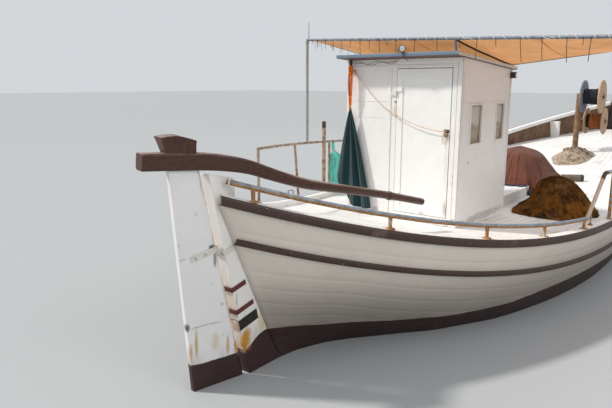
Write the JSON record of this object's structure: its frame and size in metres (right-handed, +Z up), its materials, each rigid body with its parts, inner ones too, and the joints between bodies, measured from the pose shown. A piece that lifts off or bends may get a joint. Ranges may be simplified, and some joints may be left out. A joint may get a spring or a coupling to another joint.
{
  "type": "fishing trawler",
  "caption": "Double-ended wooden fishing boat with outboard rudder and tiller, small wheelhouse aft, canvas awning and rope reels.",
  "frame": {"origin": "on the boat's centreline at the waterline, amidships near the wheelhouse", "axes": "+X towards the bow, +Y to port, +Z up"},
  "size_m": [13.9307, 4.2334, 4.05],
  "materials": {
    "white_paint": "satin",
    "brown_paint": "satin",
    "rusty_red_metal": "matte",
    "bottom_paint": "matte",
    "brown_varnish": "gloss",
    "deck_paint": "satin",
    "steel": "satin",
    "white_pipe": "satin",
    "roof_paint": "matte",
    "window_glass": "gloss",
    "canvas": "matte",
    "bronze": "satin",
    "black_plastic": "matte",
    "brown_net": "matte",
    "blue_net": "matte",
    "dark_cloth": "matte",
    "rope": "matte",
    "pale_net": "matte",
    "maroon_cover": "matte"
  },
  "bodies": {
    "hull": {"hull_planking_port": "white_paint", "hull_planking_starboard": "white_paint", "stern_post": "white_paint", "deadwood": "bottom_paint", "keel": "bottom_paint", "stem_post": "brown_paint", "cap_rail_port": "white_paint", "upper_rubbing_band_port": "brown_paint", "lower_rubbing_band_port": "brown_paint", "cap_rail_starboard": "white_paint", "upper_rubbing_band_starboard": "brown_paint", "lower_rubbing_band_starboard": "brown_paint", "deck": "deck_paint", "wheelhouse_aft_wall": "white_paint", "wheelhouse_port_wall": "white_paint", "wheelhouse_starboard_wall": "white_paint", "wheelhouse_front_wall": "white_paint", "window_glass_front_port": "window_glass", "window_glass_front_starboard": "window_glass", "wheelhouse_roof": "roof_paint", "door_hinge_lower": "steel", "door_hinge_upper": "steel", "engine_block": "black_plastic", "gudgeon_upper": "white_paint", "gudgeon_lower": "white_paint", "post_strap_upper": "rusty_red_metal", "post_strap_middle": "rusty_red_metal", "post_strap_lower": "rusty_red_metal", "foredeck_hatch": "white_paint", "handrail_starboard": "white_pipe", "handrail_port": "white_pipe", "roller_post": "rusty_red_metal", "awning_frame": "white_pipe", "awning_frame_starboard": "white_pipe", "awning_canvas": "canvas", "deck_lamp": "black_plastic", "side_lamp": "black_plastic", "door_tie_rope": "rope", "cloth_cord": "rope", "hanging_cloth": "dark_cloth", "net_pile": "brown_net", "covered_heap": "maroon_cover", "net_bundle": "blue_net", "cap_staple": "steel", "deck_pipe": "steel", "reel_stand": "rusty_red_metal", "pale_net_heap": "pale_net", "timber_head_port": "white_paint", "timber_head_starboard": "white_paint"},
    "rudder": {"tiller": "brown_varnish", "rudder_blade": "white_paint", "rudder_head_block": "brown_paint", "pintle_upper": "white_paint", "pintle_lower": "white_paint"},
    "door": {"wheelhouse_door": "white_paint", "door_hasp": "steel"},
    "propeller_and_shaft": {"propeller": "bronze", "propeller_shaft": "steel"},
    "upper_reel": {"rope_reel_upper": "rope"},
    "lower_reel": {"rope_reel_lower": "rope"}
  },
  "joints": [
    {"name": "rudder_turn", "type": "hinge", "parent": "hull", "child": "rudder", "pos_m": [-4.639, 0, 0], "axis": [-0.2168, 0, 0.9762], "range_deg": [-14, 40]},
    {"name": "door_swing", "type": "hinge", "parent": "hull", "child": "door", "pos_m": [-2.214, 0.05, 1.6], "axis": [0, 0, 1], "range_deg": [-105, 0], "deforming": ["door_tie_rope"]},
    {"name": "propeller_turn", "type": "hinge", "parent": "hull", "child": "propeller_and_shaft", "pos_m": [-4.25, 0, -0.46], "axis": [1, 0, 0], "continuous": true},
    {"name": "upper_reel_turn", "type": "hinge", "parent": "hull", "child": "upper_reel", "pos_m": [4.56, -0.3, 2.09], "axis": [0, 1, 0], "continuous": true},
    {"name": "lower_reel_turn", "type": "hinge", "parent": "hull", "child": "lower_reel", "pos_m": [4.94, -0.3, 1.61], "axis": [0, 1, 0], "continuous": true}
  ]
}
